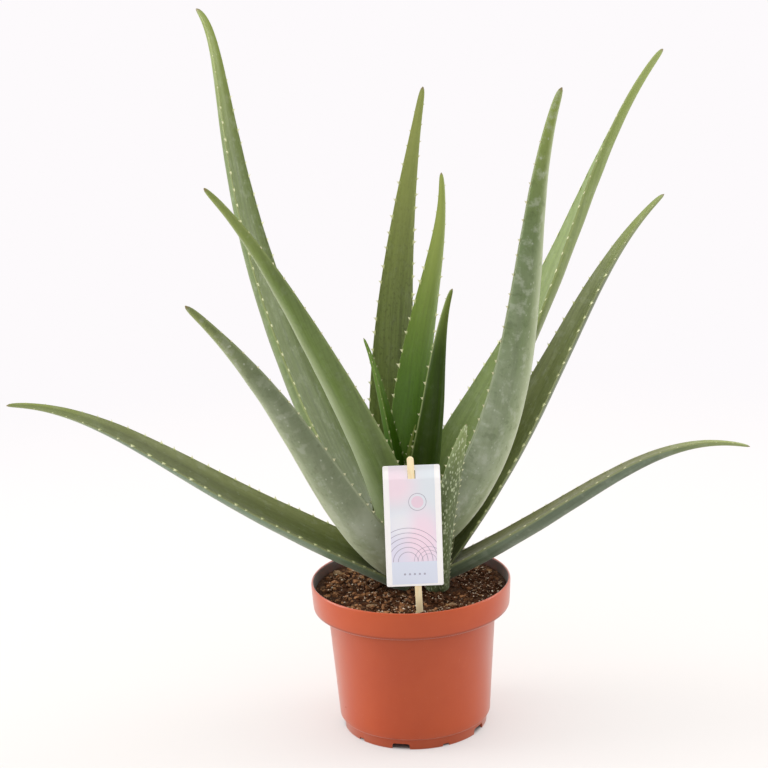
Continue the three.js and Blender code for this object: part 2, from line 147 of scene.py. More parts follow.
class Leaf:
    """One leaf: the compass angle it grows towards, its width and thickness at the foot, the turn of its
    blade at the foot and at the tip, and its middle line's start, three handles and tip. A larger full
    keeps its width further out, a larger sharp draws the tip in. Its skin goes by its name or a given one."""

    def __init__(self, name, face, width, thick, turn, line, slot="leaf_green", skin=None,
                 full=1.6, sharp=1.05, tooth_step=TOOTH_STEP):
        self.name = "leaf_" + name
        self.skin = skin or name
        self.slot = slot
        self.face = math.radians(face)
        self.width = width
        self.thick = thick
        self.turn = turn
        self.handles = [Vector(point) for point in line]
        self.full = full
        self.sharp = sharp
        self.tooth_step = tooth_step
        self.measure()

    def curve(self, t):
        points = self.handles
        while len(points) > 1:
            points = [a.lerp(b, t) for a, b in zip(points, points[1:])]
        return points[0]

    def measure(self, steps=300):
        """the running length at even steps of the curve, for points at equal distances"""
        self.runs = [0.0]
        before = self.curve(0.0)
        for i in range(1, steps + 1):
            here = self.curve(i / steps)
            self.runs.append(self.runs[-1] + (here - before).length)
            before = here
        self.length = self.runs[-1]

    def at(self, part):
        """the middle line's point and direction at a part of its length"""
        run = min(max(part, 0.0), 1.0) * self.length
        steps = len(self.runs) - 1
        low = min(bisect(self.runs, run), steps) - 1
        share = (run - self.runs[low]) / (self.runs[low + 1] - self.runs[low])
        t = (low + share) / steps
        along = self.curve(min(t + 0.001, 1.0)) - self.curve(max(t - 0.001, 0.0))
        return self.curve(t), along.normalized()

    @functools.cache
    def frame(self, part):
        """a point of the middle line, its direction, and the blade's cross and upward directions there"""
        point, along = self.at(part)
        level = Vector((-math.sin(self.face), math.cos(self.face), 0.0))
        side = (level - along * level.dot(along)).normalized()
        up = along.cross(side)
        degrees = self.turn[0] + (self.turn[1] - self.turn[0]) * part
        turn = Quaternion(along, math.radians(degrees))
        return point, along, turn @ side, turn @ up

    def size(self, part):
        """width, thickness and the margin's thickness; the blade runs out into a small blunt tip"""
        tip = TIP_WIDTH * self.width * math.sqrt(1 - part ** TIP_REACH)
        width = math.hypot(self.width * (1 - part ** self.full) ** self.sharp, tip)
        thick = math.hypot(self.thick * (1 - part ** 2.5) ** 0.9, TIP_THICK * tip)
        return width, thick, MARGIN_THICK * min(1.0, width / 8)

    def skin_point(self, part, angle):
        """a point of the blade: angle goes round the section from one margin over the trough to the other"""
        point, _, side, up = self.frame(part)
        width, thick, margin = self.size(part)
        across = math.cos(angle)
        over = math.sin(angle)
        top = (CUP * width + thick) / 2 - CUP * width * (1 - across * across)
        full = margin + max(thick - margin, 0.0) * max(1 - across * across, 0.0) ** 0.6
        height = top if over > 0 else top - full
        if abs(over) < TINY:
            height = top - margin / 2
        return point + side * (across * width / 2) + up * height


LEAVES = [
    Leaf("arching_right", -11, 26, 11, (3, 2),
         [(12, 9, 123), (87, -14, 160), (153, -27, 208), (204, -38, 265), (276, -52, 249)], full=2.0),
    Leaf("arching_left", 186, 35, 14, (-21, -43),
         [(-4, 6, 124), (-94, -4, 177), (-182, -14, 217), (-235, -20, 297), (-323, -30, 301)], full=1.7),
    Leaf("centre_back", 88, 50, 12, (-1, 0),
         [(3, 20, 122), (-17, 41, 223), (-13, 57, 329), (4, 70, 433), (26, 80, 537)]),
    Leaf("tall_left", 148, 56, 13, (16, -9),
         [(-13, 15, 126), (-100, 64, 281), (-165, 101, 450), (-130, 81, 572), (-163, 100, 608)]),
    Leaf("tall_right", 32, 53, 12, (32, -51),
         [(15, 18, 136), (29, 26, 263), (149, 96, 291), (144, 93, 456), (241, 150, 558)],
         slot="leaf_bright"),
    Leaf("mid_right", 22, 41, 12, (26, 10),
         [(20, 7, 140), (85, 33, 213), (139, 55, 292), (162, 64, 382), (232, 92, 437)]),
    Leaf("low_left", 227, 51, 14, (6, -8),
         [(-8, -4, 138), (-59, -57, 191), (-78, -77, 271), (-111, -110, 340), (-157, -158, 401)],
         slot="leaf_bloom"),
    Leaf("mid_left", 217, 51, 13, (8, -17),
         [(-8, -2, 148), (-15, -7, 236), (-66, -46, 315), (-92, -65, 414), (-144, -105, 479)]),
    Leaf("tall_front", 324, 54, 14, (-10, -5),
         [(14, -3, 160), (87, -40, 228), (107, -50, 333), (97, -45, 451), (127, -60, 540)],
         slot="leaf_bloom"),
    Leaf("bright_centre", 78, 39, 10, (0, 0),
         [(7, 10, 168), (-2, 18, 248), (4, 25, 328), (42, 34, 399), (38, 45, 468)],
         slot="leaf_bright", skin="bright"),
    Leaf("dark_centre", 300, 33, 10, (2, -1),
         [(8, 4, 170), (16, 0, 226), (31, -7, 279), (26, -4, 333), (42, -12, 380)], skin="dark"),
    Leaf("small_left", 160, 20, 7, (-3, -6),
         [(1, 6, 176), (-7, 7, 217), (-16, 9, 258), (-18, 9, 299), (-32, 12, 337)],
         slot="leaf_bright", tooth_step=9.0),
    Leaf("newest", 80, 9, 4, (0, 0),
         [(5, 5, 188), (1, 6, 207), (-1, 8, 225), (3, 8, 244), (9, 9, 262)],
         slot="leaf_bright", skin="bright", tooth_step=8.0),
    Leaf("spotted_offset", 290, 21, 7, (2, -12),
         [(24, -5, 113), (23, -33, 151), (27, -51, 196), (36, -56, 239), (48, -60, 279)],
         slot="leaf_spotted", skin="spotted", full=3.0, sharp=0.7, tooth_step=7.0),
]

# what sets the leaves' skins apart: the older outer leaves are greyer, the younger inner ones brighter
# some blades get a painted shade towards one margin and a painted light towards the other
SKINS = {
    "tall_left": dict(
        inner=(112, 128, 70), back=(108, 130, 66), tip=(142, 158, 70), bloom=(0.04, 0), smudge=0.15),
    "mid_left": dict(
        inner=(114, 138, 68), back=(120, 144, 72), bloom=(0.06, 0.02), smudge=0.08, sheen=0.1, rim=0.15,
        painted_shade=(0.5, 1, 0.35, 1), painted_light=(0.65, 0.05, 0.5)),
    "arching_left": dict(
        inner=(126, 134, 78), back=(118, 144, 114), bloom=(0.03, 0.08), smudge=0.12, streaks=0.25,
        painted_shade=(-0.8, 0, 0.7, 0)),
    "arching_right": dict(
        inner=(132, 134, 90), back=(110, 128, 104), bloom=(0.02, 0.08), smudge=0.12),
    "bright": dict(
        inner=(92, 132, 30), back=(108, 146, 50), tip=(184, 194, 104), streaks=0.35, sheen=0.1,
        fade=0.35, painted_shade=(0.4, -0.6, 0.5, 1)),
    "tall_right": dict(
        inner=(130, 150, 80), back=(132, 150, 78), bloom=(0.06, 0.06), smudge=0.1, streaks=0.3),
    "low_left": dict(
        inner=(118, 132, 94), back=(132, 148, 108), bloom=(0.75, 0.1), smudge=0.4, streaks=0.2, rim=0.1,
        painted_shade=(0.35, 0.95, 0.75, 1), painted_light=(0.5, -0.1, 0.6)),
    "tall_front": dict(
        inner=(110, 124, 86), back=(108, 130, 76), bloom=(0.5, 0), smudge=0.4, streaks=0.25, rim=0.1,
        painted_shade=(-0.2, -0.9, 0.2, 1), painted_light=(-0.6, 0.25, 0.7)),
    "centre_back": dict(
        inner=(114, 128, 62), back=(112, 130, 74), tip=(172, 182, 98), bloom=(0.05, 0), smudge=0.04,
        streaks=0.6, speckle=0.8, sheen=0.12, fade=0.5, painted_shade=(0.4, -0.6, 0.3, 1)),
    "mid_right": dict(
        inner=(120, 130, 76), back=(106, 122, 84), bloom=(0, 0.1), smudge=0.12, streaks=0.5,
        painted_shade=(0.9, -0.9, 0.3, 1)),
    "dark": dict(
        inner=(62, 90, 16), back=(52, 74, 12), tip=(116, 132, 58), streaks=0.3, speckle=0.2,
        sheen=0.03, gloss=0.22),
    "small_left": dict(
        inner=(66, 104, 16), back=(66, 104, 16), tip=(108, 136, 50), streaks=0.3, sheen=0.03,
        fade=0.4, rim=0.2, gloss=0.3),
    "spotted": dict(
        inner=(94, 112, 62), back=(94, 112, 62), tip=(142, 160, 92), bloom=(0.05, 0.05), smudge=0.1,
        speckle=0.4, flecks=0.9, rim=0.2),
}


# ---------- colours and finishes

def colour(red, green, blue):
    """a colour given as it looks on a screen, 0 to 255, in the linear values that shaders take"""
    def linear(value):
        value = value / 255
        return value / 12.92 if value <= 0.04045 else ((value + 0.055) / 1.055) ** 2.4
    return linear(red), linear(green), linear(blue), 1.0


class Nodes:
    """A node tree under construction, with short calls for the nodes that the finishes share."""

    def __init__(self, tree):
        self.tree = tree

    def join(self, source, socket):
        """feeds a socket with what comes out of a node, a number, or a colour as it looks on a screen"""
        if hasattr(source, "is_output"):
            self.tree.links.new(source, socket)
        elif socket.type == "RGBA":
            socket.default_value = colour(*source)
        else:
            socket.default_value = source

    def node(self, kind, output, inputs=(), **settings):
        """a new node with its settings and inputs; gives back one of its outputs"""
        node = self.tree.nodes.new("ShaderNode" + kind)
        for name, value in settings.items():
            setattr(node, name, value)
        for name, value in dict(inputs).items():
            self.join(value, node.inputs[name])
        return node.outputs[output]

    def place(self, stretch=(1, 1, 1), spot=None):
        """the spot on the piece, or another one that is given, stretched"""
        if spot is None:
            spot = self.node("TexCoord", "Object")
        return self.node("Mapping", "Vector", {"Vector": spot, "Scale": stretch})

    def split(self, vector):
        """a vector's three parts"""
        parts = self.tree.nodes.new("ShaderNodeSeparateXYZ")
        self.join(vector, parts.inputs["Vector"])
        return parts.outputs

    def attribute(self, name, output="Fac"):
        return self.node("Attribute", output, attribute_name=name)

    def grain(self, scale, detail=3.0, rough=0.5, place=None):
        if place is None:
            place = self.place()
        inputs = {"Vector": place, "Scale": scale, "Detail": detail, "Roughness": rough}
        return self.node("TexNoise", "Fac", inputs)

    def cells(self, scale, place):
        return self.node("TexVoronoi", "Distance", {"Vector": place, "Scale": scale})

    def step(self, value, low, high, bottom=0.0, top=1.0):
        """a smooth step from bottom to top as value goes from low to high"""
        inputs = {"Value": value, "From Min": low, "From Max": high, "To Min": bottom, "To Max": top}
        return self.node("MapRange", "Result", inputs, interpolation_type="SMOOTHSTEP")

    def maths(self, operation, first, second=0.0):
        return self.node("Math", 0, {0: first, 1: second}, operation=operation)

    def times(self, first, second):
        return self.maths("MULTIPLY", first, second)

    def length(self, x, y):
        """how long the line is that goes x across and y up"""
        square = self.maths("ADD", self.maths("POWER", x, 2), self.maths("POWER", y, 2))
        return self.maths("SQRT", square)

    def away(self):
        """the distance from the upright axis, and the height"""
        x, y, height = self.split(self.place())
        return self.length(x, y), height

    def mix(self, share, first, second, blend="MIX"):
        inputs = {"Factor": share, 6: first, 7: second}
        return self.node("Mix", 2, inputs, data_type="RGBA", blend_type=blend)

    def over(self, base, paint, value, low, high, bottom=0.0, top=1.0):
        """a paint laid over the base, from bottom to top as value goes from low to high"""
        return self.mix(self.step(value, low, high, bottom, top), base, paint)


class Finish(Nodes):
    """A material under construction."""

    def __init__(self, name, roughness=0.5):
        self.material = bpy.data.materials.new(name)
        self.material.use_nodes = True
        super().__init__(self.material.node_tree)
        self.shader = self.tree.nodes["Principled BSDF"]
        self.fix({"Roughness": roughness})

    def fix(self, values):
        """sets or feeds the shader's own sockets"""
        for name, value in values.items():
            self.join(value, self.shader.inputs[name])

    def bump(self, height, strength, distance):
        inputs = {"Strength": strength, "Distance": distance, "Height": height}
        self.join(self.node("Bump", "Normal", inputs), self.shader.inputs["Normal"])

    def finish(self, base, roughness=None):
        self.join(base, self.shader.inputs["Base Color"])
        if roughness is not None:
            self.join(roughness, self.shader.inputs["Roughness"])
        return self.material


def leaf_skin(name, inner, back, tip=(154, 170, 80), bloom=(0, 0), smudge=0.02, streaks=0.4,
              speckle=0.3, flecks=0.0, sheen=0.2, fade=0.7, rim=0.35, painted_shade=(-1, 1, 0, 1),
              painted_light=(-1, 1, 0), gloss=0.45):
    """a leaf's skin: fine lengthwise fibres, a waxy bloom from foot to tip, a yellower tip, a dry point.
    Towards one margin a painted shade darkens the green and towards the other a painted light pales it, given
    as from where to where across the blade they reach and how far, then the painted shade's share on the
    back.
    A painted shade also darkens the foot"""
    skin = Finish(name)
    spot = skin.attribute("blade_spot", "Vector")
    along = skin.attribute("blade_along")
    side = skin.attribute("blade_across")
    across = skin.maths("ABSOLUTE", side)
    under = skin.attribute("blade_under")
    dust = (196, 204, 186)

    def drawn_out(pattern, stretch, *details):
        """a pattern drawn out along the blade"""
        return pattern(*details, place=skin.place((1, stretch, 1), spot))

    fibres = drawn_out(skin.grain, 0.03, 1100, 2, 0.6)
    ribs = drawn_out(skin.grain, 0.02, 300, 2, 0.5)
    clouds = drawn_out(skin.grain, 0.45, 34, 4, 0.6)
    smears = drawn_out(skin.grain, 0.55, 150, 4, 0.65)
    mottle = drawn_out(skin.grain, 0.6, 420, 3, 0.7)
    base = skin.mix(under, inner, back)
    shade = skin.mix(1, base, (186, 186, 168), "MULTIPLY")
    base = skin.over(base, shade, ribs, 0.42, 0.66, 0, streaks)
    base = skin.over(base, shade, fibres, 0.46, 0.72, 0, streaks)
    base = skin.over(base, shade, mottle, 0.50, 0.68, 0, speckle)
    base = skin.over(base, tip, along, fade, 0.98, 0, 0.7)
    wax = skin.times(skin.step(along, 0.05, 0.95, *bloom), skin.step(clouds, 0.36, 0.66, 0.4, 1.2))
    wax = skin.times(wax, skin.step(across, 0.15, 0.95, 0.7, 1.25))
    base = skin.mix(wax, base, dust)
    base = skin.over(base, dust, smears, 0.50, 0.66, 0, smudge)
    # painted light: the lit side of the blade made paler
    base = skin.over(base, skin.mix(0.4, dust, tip), side, painted_light[0], painted_light[1], 0, painted_light[2])
    base = skin.over(base, shade, smears, 0.34, 0.44, smudge * 0.8, 0)
    # painted shade: the blade darker towards its shaded side and in its trough
    painted_shade_share = skin.times(skin.step(side, painted_shade[0], painted_shade[1], 0, painted_shade[2]),
                        skin.step(under, 0.6, 1, 1, painted_shade[3]))
    base = skin.mix(painted_shade_share, base, skin.mix(1, base, (160, 166, 144), "MULTIPLY"))
    base = skin.over(base, dust, drawn_out(skin.cells, 0.42, 300), 0.08, 0.16, smudge, 0)
    if flecks:
        white = skin.step(drawn_out(skin.cells, 0.3, 760), 0.22, 0.46, flecks, 0)
        patchy = skin.step(skin.grain(150, place=spot), 0.34, 0.5)
        base = skin.mix(skin.times(white, patchy), base, (196, 208, 170))
    base = skin.over(base, (188, 198, 130), across, 0.975, 0.998, 0, rim)
    # painted shade: the leaf's foot darkened where it sits among the other leaves
    base = skin.over(base, (62, 66, 52), along, 0, 0.11, 0.5, 0)
    base = skin.over(base, (136, 122, 86), along, 0.990, 0.999)
    skin.bump(skin.maths("ADD", fibres, skin.times(ribs, 1.5)), 0.3, 0.0004)
    skin.fix({"Specular IOR Level": gloss, "Sheen Weight": sheen, "Sheen Roughness": 0.35,
              "Sheen Tint": (236, 240, 226)})
    return skin.finish(base, skin.step(clouds, 0.3, 0.75, 0.34, 0.50))


def tooth_horn():
    """the teeth: pale and green at the root, cream in the middle, with a brown point"""
    horn = Finish("tooth_horn", 0.42)
    rise = horn.attribute("tooth_rise")
    base = horn.over((170, 184, 118), (230, 230, 190), rise, 0, 0.4)
    base = horn.over(base, (168, 130, 92), rise, 0.84, 1, 0, 0.7)
    grain = horn.grain(900, 2)
    return horn.finish(horn.over(base, (196, 190, 120), grain, 0.4, 0.7, 0, 0.2))


def pot_plastic():
    """moulded terracotta-coloured plastic with faint flow marks, soil stains and a painted shade on the inner
    wall, a painted shade under the collar and a dusty foot"""
    plastic = Finish("pot_plastic")
    away, height = plastic.away()
    clouds = plastic.grain(16, 4, 0.6)
    specks = plastic.grain(420, 3, 0.7)
    dust = plastic.grain(90, 4, 0.7)
    base = plastic.over((187, 72, 23), (193, 79, 29), clouds, 0.3, 0.7)
    base = plastic.over(base, (206, 126, 94), specks, 0.64, 0.76, 0, 0.3)
    inside = plastic.step(away, (RIM_RADIUS - WALL + 0.4) * MM, (RIM_RADIUS - WALL - 0.2) * MM)
    above = plastic.step(height, (COLLAR_LOW_Z + 4) * MM, (COLLAR_LOW_Z + 8) * MM)
    # soil stains and a painted shade darken the inner wall above the soil
    stain_and_shade = plastic.times(plastic.times(inside, above), plastic.step(dust, 0.2, 0.6, 0.75, 1))
    base = plastic.mix(stain_and_shade, base, (58, 32, 22))
    # painted shade under the collar, on the body's top and the collar's lower edge
    collar_shade = plastic.times(plastic.step(height, (COLLAR_LOW_Z - 10) * MM, (COLLAR_LOW_Z - 2) * MM, 0, 0.4),
                         plastic.step(height, (COLLAR_LOW_Z + 1.5) * MM, (COLLAR_LOW_Z + 0.3) * MM))
    base = plastic.mix(collar_shade, base, (112, 38, 12))
    low = plastic.step(height, 0, 20 * MM, 0.35, 0)
    base = plastic.mix(plastic.times(low, dust), base, (150, 100, 76))
    plastic.bump(plastic.grain(900, 2), 0.06, 0.0003)
    plastic.fix({"Specular IOR Level": 0.55, "Sheen Weight": 0.5, "Sheen Roughness": 0.4})
    return plastic.finish(base, plastic.step(clouds, 0.3, 0.7, 0.27, 0.36))


def earth(name, colours, roughness=0.95, by_tone=True):
    """soil and what is in it, from dark to light by fine noise and by each grain's own tone or in patches"""
    soil = Finish(name, roughness)
    dark, mid, light = colours
    fine = soil.grain(1300, 4, 0.7)
    base = soil.over(dark, mid, fine, 0.35, 0.65)
    if by_tone:
        base = soil.over(base, light, soil.attribute("grain_tone"), 0.35, 1)
    else:
        base = soil.over(base, light, soil.grain(260, 4, 0.7), 0.52, 0.66, 0, 0.8)
    soil.bump(fine, 0.9, 0.0006)
    soil.fix({"Specular IOR Level": 0.15})
    return soil.finish(base)


def stick_wood():
    """plain pale birch with fine lengthwise grain, and a painted glow that makes it lighter"""
    wood = Finish("stick_wood", 0.7)
    lines = wood.grain(1500, 3, 0.6, place=wood.place((1, 1, 0.03)))
    clouds = wood.grain(120, 3, place=wood.place((1, 1, 0.25)))
    base = wood.over((255, 242, 204), (244, 222, 176), lines, 0.35, 0.7)
    base = wood.over(base, (208, 172, 120), clouds, 0.45, 0.75, 0, 0.35)
    wood.bump(lines, 0.4, 0.0001)
    # painted light: a faint glow that lightens the wood
    wood.fix({"Emission Color": (255, 226, 170), "Emission Strength": 0.12})
    return wood.finish(base)


def stem_flesh():
    """the short stem, pale green with brown leaf scars"""
    flesh = Finish("stem_flesh", 0.6)
    rings = flesh.grain(260, 3, place=flesh.place((0.3, 0.3, 1)))
    flesh.bump(rings, 0.5, 0.0006)
    return flesh.finish(flesh.over((150, 158, 112), (104, 92, 62), rings, 0.4, 0.65))


def tag_card():
    """a printed card: a white border round a pastel panel with arcs, a disc and a row of dots, and a painted
    glow that makes it whiter
    """
    card = Finish("tag_card", 0.38)
    x, z, _ = card.split(card.node("UVMap", "UV", uv_map="print"))

    def away_from(centre_x, centre_z, stretch=1.0):
        rise = card.times(card.maths("SUBTRACT", z, centre_z), stretch)
        return card.length(card.maths("SUBTRACT", x, centre_x), rise)

    def ring(centre_x, centre_z, radius, line, depth):
        gap = card.maths("ABSOLUTE", card.maths("SUBTRACT", away_from(centre_x, centre_z), radius))
        return card.step(gap, line / 2, line / 2 + PRINT_SOFT, depth, 0)

    panel = card.over((226, 224, 244), (226, 234, 242), z, 25, 70)
    panel = card.over(panel, (252, 222, 236), away_from(-14, 84), 4, 26, 0.8, 0)
    panel = card.over(panel, (252, 222, 238), away_from(7, 40, 0.6), 4, 22, 0.9, 0)
    panel = card.over(panel, (246, 246, 252), away_from(-10, 52), 3, 16, 0.6, 0)
    panel = card.over(panel, (220, 228, 246), z, PRINT_HORIZON, PRINT_HORIZON - 0.4)
    above = card.step(z, PRINT_HORIZON - 0.2, PRINT_HORIZON + 0.2)
    for middle, depth, radii in PRINT_FANS:
        for radius in radii:
            arc = card.times(ring(middle, PRINT_HORIZON, radius, PRINT_LINE, depth), above)
            panel = card.mix(arc, panel, PRINT_INK)
    panel = card.mix(ring(*PRINT_DISC, 2.4, 4.8, 0.55), panel, (242, 190, 214))
    panel = card.mix(ring(*PRINT_DISC, 7, PRINT_LINE, 0.7), panel, PRINT_INK)
    for i in range(DOT_COUNT):
        dot = ring(DOT_FIRST + DOT_STEP * i, DOT_HEIGHT, 0.4, 0.8, 0.7)
        panel = card.mix(dot, panel, PRINT_INK)
    inside = card.times(card.step(card.maths("ABSOLUTE", x), 18.6, 18.2), card.step(z, 1.4, 1.8))
    inside = card.times(inside, card.attribute("printed_side"))
    card.bump(card.grain(1600, 2), 0.2, 0.00005)
    # painted light: a faint glow that makes the card whiter
    card.fix({"Emission Color": (255, 250, 255), "Emission Strength": 0.08})
    return card.finish(card.mix(inside, (255, 254, 254), panel))


# ---------- shaping by hand

def start():
    """nothing selected, so that a new primitive is alone"""
    bpy.ops.object.select_all(action="DESELECT")


def alone(piece):
    """the piece selected and active, and nothing else"""
    start()
    piece.select_set(True)
    bpy.context.view_layer.objects.active = piece


def joined(pieces):
    """all the pieces as one, the first"""
    alone(pieces[0])
    for piece in pieces:
        piece.select_set(True)
    bpy.ops.object.join()
    return pieces[0]


def edit():
    bpy.ops.object.mode_set(mode="EDIT")


def leave():
    bpy.ops.object.mode_set(mode="OBJECT")


def choose_all():
    bpy.ops.mesh.select_all(action="SELECT")


def choose(kind, test):
    """in edit mode, selects the vertices, edges or faces that pass the test and nothing else"""
    bpy.ops.mesh.select_mode(type=kind)
    bpy.ops.mesh.select_all(action="DESELECT")
    shape = bmesh.from_edit_mesh(bpy.context.object.data)
    for element in {"VERT": shape.verts, "EDGE": shape.edges, "FACE": shape.faces}[kind]:
        if test(element):
            element.select_set(True)
    shape.select_flush_mode()
    bmesh.update_edit_mesh(bpy.context.object.data)


def facing_out():
    """leaves edit mode with every face turned outwards"""
    choose_all()
    bpy.ops.mesh.normals_make_consistent()
    leave()
    return bpy.context.object


def upright(edge):
    """whether an edge of a body of unit height, or of unit rings, goes up it"""
    return abs(edge.verts[0].co.z - edge.verts[1].co.z) > 0.5


def upper(axis, height=0.0):
    """a test for the edges above a height that don't run along an axis: 0 for x, 1 for y"""
    def test(edge):
        one, other = [vertex.co for vertex in edge.verts]
        return min(one.z, other.z) > height and abs(one[axis] - other[axis]) < TINY
    return test


def apply(piece, kind, **settings):
    """adds a modifier and applies it"""
    bpy.context.view_layer.objects.active = piece
    modifier = piece.modifiers.new(kind, kind)
    for key, value in settings.items():
        setattr(modifier, key, value)
    bpy.ops.object.modifier_apply(modifier=modifier.name)


def soften(piece, width, segments, degrees):
    """a small bevel, in millimetres, on the edges that are sharper than an angle"""
    apply(piece, "BEVEL", width=width * MM, segments=segments, limit_method="ANGLE",
          angle_limit=math.radians(degrees))


def cut(piece, cutter):
    """takes the cutter's shape out of the piece and removes the cutter"""
    apply(piece, "BOOLEAN", operation="DIFFERENCE", object=cutter, solver="EXACT")
    bpy.data.objects.remove(cutter)


def mark(piece, name, values):
    """a number for each point of the mesh, for its finish to read"""
    piece.data.attributes.new(name, "FLOAT", "POINT").data.foreach_set("value", values)


def settle(piece, name, slot, material=None, nodes=(), smooth=40):
    """the finished piece: its place in its mesh, shaded, dressed, and riding on the pot's body"""
    alone(piece)
    bpy.ops.object.transform_apply()
    bpy.ops.object.shade_smooth_by_angle(angle=math.radians(smooth))
    piece.name = name
    piece.data.name = name
    if material is not None:
        piece.data.materials.clear()
        piece.data.materials.append(material)
    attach(piece, "root")
    if nodes:
        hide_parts(*nodes)


def turned(profile, sides):
    """a round closed body: a disc at the profile's start, pushed and widened from ring to ring"""
    start()
    radius, height = profile[0]
    bpy.ops.mesh.primitive_circle_add(
        vertices=sides, radius=radius * MM, fill_type="NGON", location=(0, 0, height * MM))
    edit()
    bpy.ops.mesh.select_mode(type="FACE")
    choose_all()
    for next_radius, next_height in profile[1:]:
        bpy.ops.mesh.extrude_region_move(
            TRANSFORM_OT_translate={"value": (0, 0, (next_height - height) * MM)})
        wider = next_radius / radius
        bpy.ops.transform.resize(value=(wider, wider, 1), center_override=(0, 0, next_height * MM))
        radius, height = next_radius, next_height
    return facing_out()


def strewn(template, places, tones=None):
    """copies of a template, each with its own mesh, place and tone, joined into one body"""
    twins = []
    for i, place in enumerate(places):
        twin = template.copy()
        twin.data = template.data.copy()
        twin.matrix_world = place
        bpy.context.scene.collection.objects.link(twin)
        if tones:
            mark(twin, "grain_tone", [tones[i]] * len(twin.data.vertices))
        twins.append(twin)
    bpy.data.objects.remove(template)
    return joined(twins)


def near(radius, height, *steps):
    """points of a profile, each a step out and up from one corner"""
    return [(radius + out, height + up) for out, up in steps]


def grown(x, y, z):
    """the matrix that brings a unit piece to its size, in millimetres"""
    return Matrix.Diagonal((x * MM, y * MM, z * MM, 1))


# ---------- the pot

def nursery_pot():
    foot = [
        (CENTRE_DISC_RADIUS, 0), (CENTRE_DISC_RADIUS + 3, FLOOR_UNDER_Z), (FOOT_RADIUS - 2.4, FLOOR_UNDER_Z),
        (FOOT_RADIUS - 2, 0), (FOOT_RADIUS - 0.3, 0), (FOOT_RADIUS, FOOT_HEIGHT),
        *near(BODY_LOW_RADIUS, FOOT_HEIGHT, (-1, 0.7), (-0.2, 1.6), (0, 5.5)),
    ]
    collar = [
        *near(BODY_TOP_RADIUS, COLLAR_LOW_Z, (0, -5.6), (1.2, -3.0)),
        *near(COLLAR_LOW_RADIUS, COLLAR_LOW_Z, (-2.8, -1.9), (-1.4, -1.6), (-0.6, -0.9), (-0.2, 0.2), (0, 3)),
        *near(RIM_RADIUS, POT_HEIGHT, (0, -2.4), (-0.3, -0.6), (-1, 0)),
    ]
    inside = [
        *near(RIM_RADIUS, POT_HEIGHT, (-1.7, -0.4), (-WALL - 0.2, -1.6)),
        *near(COLLAR_LOW_RADIUS - WALL, COLLAR_LOW_Z, (0, 3.6), (-1.6, 1)),
        *near(BODY_TOP_RADIUS, COLLAR_LOW_Z, (-0.4, -3.4), (-WALL, -6)),
        (BODY_LOW_RADIUS - WALL, FOOT_HEIGHT + 5.5), (FOOT_RADIUS - 1.4, FLOOR_TOP_Z),
    ]
    pot = turned(foot + collar + inside, SIDES)
    soften(pot, 0.45, 2, 24)
    for width, height, first in NOTCHES:
        for angle in round_from(first):
            cut(pot, notch_cutter(width, height, angle))
    for angle in round_from(NOTCHES[0][2]):
        start()
        bpy.ops.mesh.primitive_cylinder_add(
            vertices=32, radius=DRAIN_HOLE_RADIUS * MM, depth=CUTTER_DEPTH * MM,
            location=on_ring(DRAIN_RING_RADIUS, angle, FLOOR_TOP_Z - 1))
        cut(pot, bpy.context.object)
    settle(pot, "nursery_pot", "pot_plastic", pot_plastic(), ["pot"], smooth=35)


def round_from(first):
    """the angles of what stands round the foot at equal distances, from a first one in degrees"""
    return [math.radians(first + 360 / NOTCH_COUNT * i) for i in range(NOTCH_COUNT)]


def on_ring(radius, angle, height):
    """a point at a radius, an angle and a height, from millimetres"""
    return radius * MM * math.cos(angle), radius * MM * math.sin(angle), height * MM


def notch_cutter(width, height, angle):
    """a block with rounded upper corners, set across the foot ring"""
    start()
    bpy.ops.mesh.primitive_cube_add(
        size=1, location=on_ring(FOOT_RADIUS - 1, angle, 0), rotation=(0, 0, angle),
        scale=(CUTTER_DEPTH * MM, width * MM, height * 2 * MM))
    bpy.ops.object.transform_apply(location=False, rotation=False)
    edit()
    choose("EDGE", upper(1))
    bpy.ops.mesh.bevel(offset=height * 0.45 * MM, segments=4, affect="EDGES")
    leave()
    return bpy.context.object


# ---------- the soil

def soil_height(x, y):
    """the height of the soil, in millimetres: low swells, small hollows and a fine crumble, and lower
    towards the wall"""
    waves = [size * noise.noise(Vector((x, y, layer)) / spread) for size, spread, layer in SOIL_WAVES]
    sunk = 1.2 * max(0.0, (math.hypot(x, y) - SOIL_SINKS_FROM) / 12)
    return SOIL_LEVEL + sum(waves) - sunk


def dryness_and_light(place):
    """how light the soil is at a place: its upper crust dries in patches, and a painted light and shade make
    it lighter towards the left and darker towards the right
    """
    x, y, _ = place.translation / MM
    patch = 0.95 + 0.9 * noise.noise(Vector((x, y, 30.0)) / 17)
    # painted light and shade: lighter towards the left, darker towards the right
    return min(max(patch - x / 95, 0.15), 1.5)


